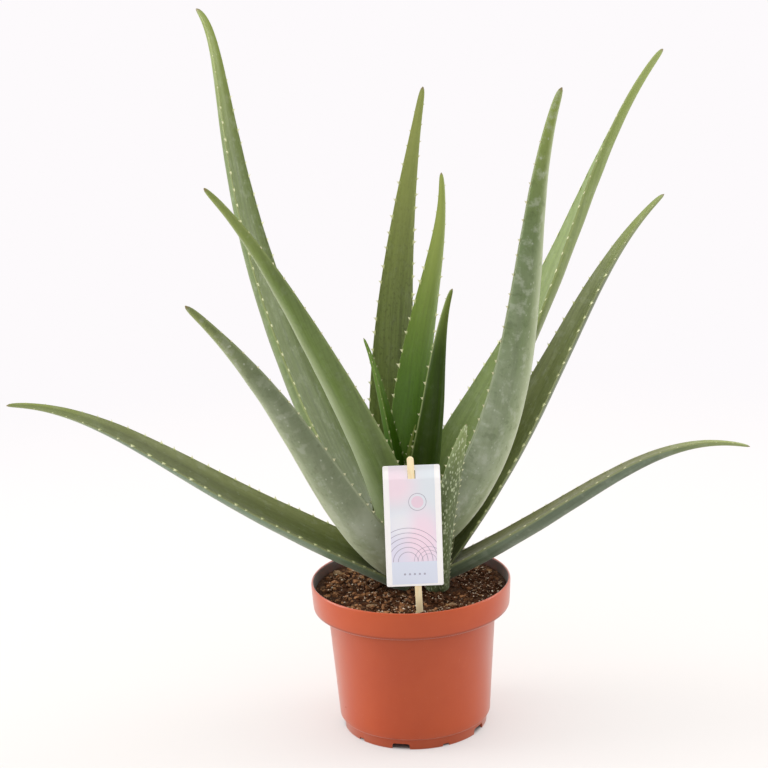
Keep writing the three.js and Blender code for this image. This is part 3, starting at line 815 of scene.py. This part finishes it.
def soil_bed():
    """the soil fills the pot and ends in an uneven surface"""
    wall = [
        (FOOT_RADIUS - 1.9, FLOOR_TOP_Z + 0.3), (BODY_LOW_RADIUS - WALL - 0.4, FOOT_HEIGHT + 6),
        *near(BODY_TOP_RADIUS, COLLAR_LOW_Z, (-WALL - 0.4, -5.8), (-0.8, -2.8)),
        *near(COLLAR_LOW_RADIUS - WALL, COLLAR_LOW_Z, (-2.2, 1.6), (-0.4, 4)), (SOIL_RADIUS, SOIL_Z),
    ]
    bed = turned(wall, SIDES)
    edit()
    choose("FACE", lambda face: face.normal.z > 0.9 and face.calc_center_median().z > (SOIL_Z - 1) * MM)
    for _ in range(int(SOIL_RADIUS / SOIL_RING_STEP) - 1):
        bpy.ops.mesh.inset(thickness=SOIL_RING_STEP * MM)
    bpy.ops.mesh.poke()
    leave()
    for vertex in bed.data.vertices:
        if vertex.co.z > (SOIL_Z - 0.5) * MM:
            vertex.co.z = soil_height(vertex.co.x / MM, vertex.co.y / MM) * MM
    stuff = earth("soil_peat", PEAT_BED, by_tone=False)
    settle(bed, "soil_bed", "potting_soil", stuff, ["soil"], smooth=60)


def roughened(rough, seed, cuts=0):
    """the new primitive with more corners, if asked for, and all of them moved at random"""
    edit()
    choose_all()
    if cuts:
        bpy.ops.mesh.subdivide(number_cuts=cuts)
    bpy.ops.transform.vertex_random(offset=rough, uniform=1.0, seed=seed)
    leave()
    return bpy.context.object


def stone(seed, rough, finer=1):
    """a small lump, one unit across, shaped from a ball with uneven corners"""
    start()
    bpy.ops.mesh.primitive_ico_sphere_add(subdivisions=finer)
    return roughened(rough, seed)


def splinter():
    """a flat split chip, two units long, with broken ends"""
    start()
    bpy.ops.mesh.primitive_cube_add(size=1, scale=(2.0, 1.1, 0.45))
    bpy.ops.object.transform_apply()
    return roughened(0.16, 5, cuts=1)


def grain_size(chance, small, large):
    """a size between small and large, more often a small one"""
    return small + (large - small) * chance.random() ** 2.2


def tossed(chance):
    """a turn any way round and a tilt"""
    turn = Matrix.Rotation(chance.uniform(0, ANY_TURN), 4, "Z")
    return turn @ Matrix.Rotation(chance.uniform(-ANY_TILT, ANY_TILT), 4, "X")


def scattered(chance, count, small, large, rise, flat=1.0):
    """places for grains on the soil, each of its own size and turn"""
    places = []
    for _ in range(count):
        away = (GRAIN_RIM - large) * math.sqrt(chance.random())
        angle = chance.uniform(0, 2 * math.pi)
        x, y = away * math.cos(angle), away * math.sin(angle)
        size = grain_size(chance, small, large)
        toss = tossed(chance)
        scale = grown(size * chance.uniform(0.7, 1.3), size * chance.uniform(0.7, 1.2),
                      size * flat * chance.uniform(0.7, 1.2))
        spot = Matrix.Translation(Vector((x, y, soil_height(x, y) + size * rise)) * MM)
        places.append(spot @ toss @ scale)
    return places


def resting(chance, grains, count, small, large):
    """places for small bits that lie on top of the higher grains"""
    high = sorted(grains, key=lambda grain: grain.translation.z)[len(grains) // 3:]
    places = []
    for _ in range(count):
        under = chance.choice(high)
        spot = under @ Vector((chance.uniform(-0.6, 0.6), chance.uniform(-0.6, 0.6), 0.85))
        size = grain_size(chance, small, large)
        places.append(Matrix.Translation(spot) @ tossed(chance) @ grown(size, size, size))
    return places


def seeded(state):
    """the same even draws from 0 to 1 as the solid lumps of the soil are placed by"""
    while True:
        state = (state * 1664525 + 1013904223) % 4294967296
        yield state / 4294967296


def lumps():
    """where the larger bark and pumice lumps lie, clear of the stick: every third is a pumice bead"""
    draw = seeded(LUMP_SEED)
    places = []
    while len(places) < LUMP_COUNT:
        angle = next(draw) * 2 * math.pi
        radius = LUMPS_FROM + LUMPS_SPREAD * math.sqrt(next(draw))
        size = 2 + 2.6 * next(draw) ** 2
        stretch = (0.8 + 0.8 * next(draw), 0.8 + 0.5 * next(draw), 0.5 + 0.3 * next(draw))
        tilt, turn = next(draw) - 0.5, next(draw) * ANY_TURN
        x, y = radius * math.cos(angle), radius * math.sin(angle)
        z = SOIL_LEVEL + 0.6 * next(draw)
        if math.hypot(x - STICK_FOOT[0], y - stick_middle(0.0).y) <= CLEAR_OF_STICK:
            continue
        toss = Matrix.Rotation(turn, 4, "Z") @ Matrix.Rotation(tilt, 4, "X")
        scale = grown(*(size * part for part in stretch))
        places.append(Matrix.Translation(Vector((x, y, z)) * MM) @ toss @ scale)
    bark = [place for i, place in enumerate(places) if i % 3]
    return bark, places[::3]


def layer(name, template, places, tones, stuff, smooth):
    """all the grains of one kind, as one piece"""
    settle(strewn(template, places, tones), name, "potting_soil", stuff, smooth=smooth)


def soil_grains():
    """peat crumbs, tan fibre flecks, bark chips and perlite beads lying on the soil"""
    chance = random.Random(GRAIN_SEED)
    bark, pumice = lumps()
    crumbs = scattered(chance, CRUMB_COUNT, 0.7, 2.8, 0.25)
    tones = [chance.random() ** 1.6 * dryness_and_light(place) for place in crumbs]
    layer("soil_crumbs", stone(3, 0.35), crumbs, tones, earth("peat_crumbs", PEAT_CRUMBS), 50)
    flecks = resting(chance, crumbs, FLECK_COUNT, 0.2, 0.8)
    tones = [chance.random() for _ in flecks]
    layer("soil_flecks", splinter(), flecks, tones, earth("fibre_flecks", FIBRE_FLECKS), 30)
    chips = bark + scattered(chance, CHIP_COUNT, 1.4, 3.4, 0.2, flat=0.8)
    tones = [chance.random() * 0.8 for _ in chips]
    layer("soil_bark", splinter(), chips, tones, earth("bark_chips", BARK_CHIPS), 30)
    beads = resting(chance, crumbs, PERLITE_COUNT, 0.3, 0.9)
    tones = [0.2 * chance.random()] * len(pumice) + [0.4 + 0.6 * chance.random() for _ in beads]
    white = earth("perlite", PERLITE_BEADS, roughness=0.9)
    layer("soil_perlite", stone(8, 0.16, finer=2), pumice + beads, tones, white, 60)


# ---------- the stick and the tag

def stick_middle(part):
    """a point on the stick's middle line, in millimetres, from 0 at its foot to 1 at its top"""
    x = STICK_FOOT[0] + (STICK_TOP[0] - STICK_FOOT[0]) * part
    z = STICK_FOOT[1] + (STICK_TOP[1] - STICK_FOOT[1]) * part
    y = TAG_PLACE[1] + TAG_STEP / 2 + (z - TAG_PLACE[2]) * math.tan(math.radians(LEAN_BACK))
    return Vector((x, y, z))


def tag_stick():
    """a flat birch stick with a round top and eased edges"""
    foot, top = stick_middle(0.0), stick_middle(1.0)
    length = (top - foot).length
    start()
    bpy.ops.mesh.primitive_cube_add(size=1, location=(0, 0, length / 2 * MM),
                                    scale=(STICK_WIDTH * MM, STICK_THICK * MM, length * MM))
    stick = bpy.context.object
    bpy.ops.object.transform_apply()
    edit()
    choose("EDGE", upper(0, length / 2 * MM))
    bpy.ops.mesh.bevel(offset=STICK_WIDTH * 0.48 * MM, segments=9, affect="EDGES")
    leave()
    soften(stick, 0.3, 2, 40)
    lean = Vector((0, 0, 1)).rotation_difference(top - foot)
    stick.matrix_world = Matrix.Translation(foot * MM) @ lean.to_matrix().to_4x4()
    settle(stick, "tag_stick_birch", "stick_wood", stick_wood(), ["tag_stick"], smooth=30)


def plant_tag():
    """a card with round corners, a slit for the stick and its top strip bent back"""
    start()
    bpy.ops.mesh.primitive_plane_add(size=1, rotation=(math.radians(90), 0, 0))
    tag = bpy.context.object
    tag.scale = (TAG_WIDTH * MM, TAG_HEIGHT * MM, 1)
    tag.location = (0, 0, TAG_HEIGHT / 2 * MM)
    bpy.ops.object.transform_apply()
    edit()
    choose_all()
    bpy.ops.mesh.bevel(offset=TAG_CORNER * MM, segments=6, affect="VERTICES")
    bends = [BEND_FROM + (BEND_TO - BEND_FROM) * i / BEND_PARTS for i in range(BEND_PARTS + 1)]
    lines = [((0, 0, height * MM), (0, 0, 1)) for height in [*bends, SLIT_FROM, SLIT_TO]]
    lines += [((side * SLIT_WIDTH / 2 * MM, 0, 0), (1, 0, 0)) for side in (-1, 1)]
    for point, across in lines:
        choose_all()
        bpy.ops.mesh.bisect(plane_co=point, plane_no=across)

    def in_slit(face):
        middle = face.calc_center_median() / MM
        return abs(middle.x) < SLIT_WIDTH / 2 and SLIT_FROM < middle.z < SLIT_TO

    choose("FACE", in_slit)
    bpy.ops.mesh.delete(type="FACE")
    leave()
    print_map = tag.data.uv_layers[0]
    print_map.name = "print"
    for corner, loop in zip(print_map.data, tag.data.loops):
        spot = tag.data.vertices[loop.vertex_index].co / MM
        corner.uv = (spot.x, spot.z)
    for vertex in tag.data.vertices:
        vertex.co.y += folded_back(vertex.co.z / MM) * MM
    apply(tag, "SOLIDIFY", thickness=TAG_THICK * MM, offset=0.0)
    soften(tag, 0.08, 1, 60)
    front = [float(vertex.co.y / MM < folded_back(vertex.co.z / MM)) for vertex in tag.data.vertices]
    mark(tag, "printed_side", front)
    lean = Matrix.Rotation(-math.radians(LEAN_BACK), 4, "X")
    tag.matrix_world = Matrix.Translation(Vector(TAG_PLACE) * MM) @ lean
    settle(tag, "printed_tag", "tag_card", tag_card(), ["plant_tag"], smooth=40)


def folded_back(height):
    """how far back the card is bent at a height: nothing below the bend, a full step above it"""
    share = min(max((height - BEND_FROM) / (BEND_TO - BEND_FROM), 0.0), 1.0)
    return TAG_STEP * (share * share * (3 - 2 * share) * 0.35 + share * 0.65)


# ---------- the plant

def crown():
    """the short stem between the leaf bases, with the low rings that old leaves leave"""
    profile = [(CROWN_RADIUS, CROWN_FOOT)]
    for i in range(SCAR_COUNT):
        z = CROWN_FOOT + SCAR_STEP * (i + 1)
        narrowed = max(0.0, (z - NARROWS_FROM) / (NARROWS_TO - NARROWS_FROM))
        radius = CROWN_RADIUS - NARROWS_BY * narrowed
        profile += [(radius - SCAR_DEPTH, z - 1), (radius, z)]
    profile += [(CROWN_RADIUS - NARROWS_BY, NARROWS_TO), (CROWN_TIP_RADIUS, CROWN_TOP)]
    stem = turned(profile, 40)
    stem.location = (CROWN_X * MM, CROWN_Y * MM, 0)
    settle(stem, "stem", "stem_flesh", stem_flesh(), ["crown_stem"], smooth=50)


def tooth():
    """one tooth, a unit high: a horn with a long flared root, its point drawn towards the leaf's tip"""
    start()
    bpy.ops.mesh.primitive_cone_add(vertices=8, depth=1, end_fill_type="NOTHING",
                                    location=(0, 0, 0.5), scale=(1, 0.24, 1))
    bpy.ops.object.transform_apply()
    edit()
    choose("EDGE", upright)
    bpy.ops.mesh.subdivide(number_cuts=3)
    for height, slim, ahead in ((0.25, 0.80, 0.04), (0.5, 0.62, 0.16), (0.75, 0.50, 0.36), (1.0, 1.0, 0.62)):
        choose("VERT", lambda vertex: abs(vertex.co.z - height) < 0.01)
        bpy.ops.transform.resize(value=(slim, slim, 1), center_override=(0, 0, height))
        bpy.ops.transform.translate(value=(ahead, 0, 0))
    leave()
    horn = bpy.context.object
    mark(horn, "tooth_rise", [vertex.co.z for vertex in horn.data.vertices])
    return horn


def tooth_sites(leaf, chance):
    """where the teeth stand: along both margins, a little closer at the foot, set off side to side"""
    count = int(leaf.length * TEETH_SPAN / leaf.tooth_step)
    for hand in (-1, 1):
        for i in range(count):
            place = (i + (0.25 if hand > 0 else 0.75) + chance.uniform(-0.18, 0.18)) / count
            yield hand, TEETH_FROM + TEETH_SPAN * place ** 1.12


def tooth_place(leaf, hand, part, chance):
    """the matrix that stands a tooth on the margin"""
    point, along, side, up = leaf.frame(part)
    width, thick, margin = leaf.size(part)
    edge = point + side * (hand * width / 2) + up * ((CUP * width + thick) / 2 - margin / 2)
    size = min(1.0, max(0.5, width / 16)) * chance.uniform(0.85, 1.1)
    out = (side * hand + up * TOOTH_LIFT).normalized()
    cross = out.cross(along)
    base = edge - out * TOOTH_SINK * size
    columns = [along * TOOTH_ROOT * size, cross * TOOTH_ROOT * size, out * (TOOTH_HEIGHT + TOOTH_SINK) * size]
    rows = [[*(column[i] * MM for column in columns), base[i] * MM] for i in range(3)]
    return Matrix([*rows, [0, 0, 0, 1]])


def blade_blank(rings):
    """an upright tube of unit rings a unit apart, closed at both ends"""
    start()
    bpy.ops.mesh.primitive_cylinder_add(vertices=AROUND, depth=rings, end_fill_type="TRIFAN",
                                        location=(0, 0, rings / 2))
    bpy.ops.object.transform_apply()
    edit()
    choose("EDGE", upright)
    bpy.ops.mesh.subdivide(number_cuts=rings - 1)
    leave()
    return bpy.context.object


def blade(leaf, seed):
    """the blank laid out as the leaf: its rings, closer towards the tip, become sections, and its last
    point is the tip. Each point keeps where it is on the blade, for the skin to read"""
    rings = int(leaf.length / RING_STEP)
    body = blade_blank(rings)
    across, along, under, spots = [], [], [], []
    for vertex in body.data.vertices:
        share = vertex.co.z / rings
        part = 0.9995 * (1 - (1 - share) ** 1.25)
        ring = math.hypot(vertex.co.x, vertex.co.y) > 0.5
        angle = math.atan2(vertex.co.y, vertex.co.x)
        width = leaf.size(part)[0]
        if ring:
            place = leaf.skin_point(part, angle)
            wave = noise.noise(Vector((part * leaf.length / WAVE_LENGTH, math.cos(angle) * 1.3, seed)))
            place += leaf.frame(part)[3] * (WAVE_HEIGHT * wave * min(1.0, width / 20))
        else:
            place = leaf.frame(share)[0]
        across.append(math.cos(angle) if ring else 0.0)
        along.append(part if ring or share < 0.5 else 1.0)
        under.append(min(max(0.5 - 3 * math.sin(angle), 0.0), 1.0) if ring else 0.5)
        spots += [math.cos(angle) * width / 2 * MM, part * leaf.length * MM, under[-1] * 0.1 + seed]
        vertex.co = place * MM
    mark(body, "blade_across", across)
    mark(body, "blade_along", along)
    mark(body, "blade_under", under)
    body.data.attributes.new("blade_spot", "FLOAT_VECTOR", "POINT").data.foreach_set("vector", spots)
    alone(body)
    edit()
    return facing_out()


def foliage():
    """every leaf with its teeth"""
    skins = {name: leaf_skin("skin_" + name, **paints) for name, paints in SKINS.items()}
    horn = tooth_horn()
    template = tooth()
    chance = random.Random(TOOTH_SEED)
    for number, leaf in enumerate(LEAVES):
        body = blade(leaf, number * 3.7)
        body.data.materials.append(skins[leaf.skin])
        places = [tooth_place(leaf, hand, part, chance) for hand, part in tooth_sites(leaf, chance)]
        teeth = strewn(template.copy(), places)
        teeth.data.materials.append(horn)
        joined([body, teeth])
        settle(body, leaf.name + "_blade", leaf.slot, None, [leaf.name], smooth=60)
    bpy.data.objects.remove(template)


# ---------- the studio

def surround():
    """an even pale surround, darker from where the camera stands; the camera sees a plain backdrop"""
    world = bpy.data.worlds.new("studio")
    bpy.context.scene.world = world
    world.use_nodes = True
    sky = Nodes(world.node_tree)
    _, y, z = sky.split(sky.node("TexCoord", "Generated"))
    sides = sky.step(y, -0.8, -0.1, FRONT_LIGHT, SIDE_LIGHT)
    above = sky.step(z, 0.2, 1.0, 0.0, TOP_LIGHT)
    lit = sky.node("Background", 0, {"Color": SURROUND, "Strength": sky.maths("ADD", sides, above)})
    seen = sky.tree.nodes["Background"]
    sky.join(BACKDROP, seen.inputs["Color"])
    by_camera = sky.node("LightPath", "Is Camera Ray")
    both = sky.node("MixShader", 0, {0: by_camera, 1: lit, 2: seen.outputs[0]})
    sky.join(both, sky.tree.nodes["World Output"].inputs["Surface"])


def floor():
    """a wide pale floor that glows a little for the camera, with a painted shadow under the pot where the
    glow is taken away
    """
    start()
    bpy.ops.mesh.primitive_circle_add(vertices=128, radius=FLOOR_RADIUS, fill_type="NGON")
    ground = bpy.context.object
    ground.name = "floor"
    paper = Finish("floor_paper", 0.9)
    by_camera = paper.node("LightPath", "Is Camera Ray")
    away, _ = paper.away()
    fade = paper.step(away, FLOOR_FADE_FROM, FLOOR_FADE_TO)
    glow = paper.mix(fade, FLOOR_GLOW, BACKDROP)
    # painted shadow: no glow under the pot and up to just past its foot
    glow = paper.over(BLACK, glow, away, (FOOT_RADIUS - 4) * MM, (FOOT_RADIUS + 1) * MM)
    paper.fix({"Emission Color": paper.mix(by_camera, BLACK, glow), "Emission Strength": 1.0,
               "Specular IOR Level": 0.0})
    seen = paper.mix(fade, FLOOR_SEEN, BLACK)
    ground.data.materials.append(paper.finish(paper.mix(by_camera, FLOOR_BOUNCE, seen)))


def studio():
    bpy.context.scene.view_settings.view_transform = "Standard"
    surround()
    floor()
    for name, place, target, size, watts in LAMPS:
        light = bpy.data.lights.new(name, "AREA")
        light.shape = "DISK"
        light.size = size
        light.energy = watts
        body = bpy.data.objects.new(name, light)
        body.location = place
        body.rotation_euler = (Vector(target) - Vector(place)).to_track_quat("-Z", "Y").to_euler()
        bpy.context.scene.collection.objects.link(body)


def camera():
    """the photograph's view: a long lens, looking a little down, turned a little clockwise"""
    lens = bpy.data.cameras.new("camera")
    lens.lens = CAMERA_LENS
    lens.sensor_width = CAMERA_SENSOR
    lens.clip_start = 0.05
    body = bpy.data.objects.new("camera", lens)
    look = Matrix.Rotation(math.radians(90 - CAMERA_LOOKS_DOWN), 4, "X")
    roll = Matrix.Rotation(-math.radians(CAMERA_ROLL), 4, "Z")
    body.matrix_world = Matrix.Translation(Vector(CAMERA_PLACE)) @ look @ roll
    bpy.context.scene.collection.objects.link(body)
    bpy.context.scene.camera = body


camera()
studio()
nursery_pot()
soil_bed()
soil_grains()
tag_stick()
plant_tag()
crown()
foliage()
